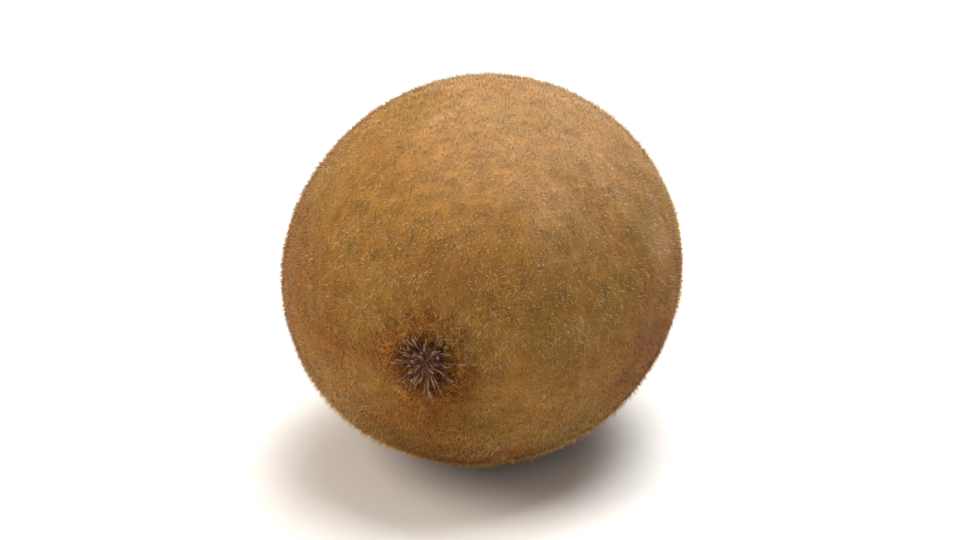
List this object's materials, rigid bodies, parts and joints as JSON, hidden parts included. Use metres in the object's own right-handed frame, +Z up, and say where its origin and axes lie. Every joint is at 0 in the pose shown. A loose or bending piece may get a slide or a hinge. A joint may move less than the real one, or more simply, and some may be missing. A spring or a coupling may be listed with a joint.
{
  "type": "kiwi fruit",
  "caption": "Whole kiwi fruit with fuzzy brown skin, lying on its side on a small flat spot, with dried flower styles in a collar at one end and a sunken stalk scar at the other.",
  "frame": {"origin": "on the surface that the fruit rests on, under the middle of its box", "axes": "+Z up; +Y along the core, from the blossom end to the stem end; +X across the fruit as it lies"},
  "size_m": [0.0542, 0.0672, 0.0501],
  "materials": {
    "skin": "matte golden-brown skin under short tan fuzz",
    "dried_styles": "dull dark grey-brown, dry and brittle"
  },
  "bodies": {
    "root": {"fruit": "skin", "dried_styles": "dried_styles"}
  },
  "joints": []
}
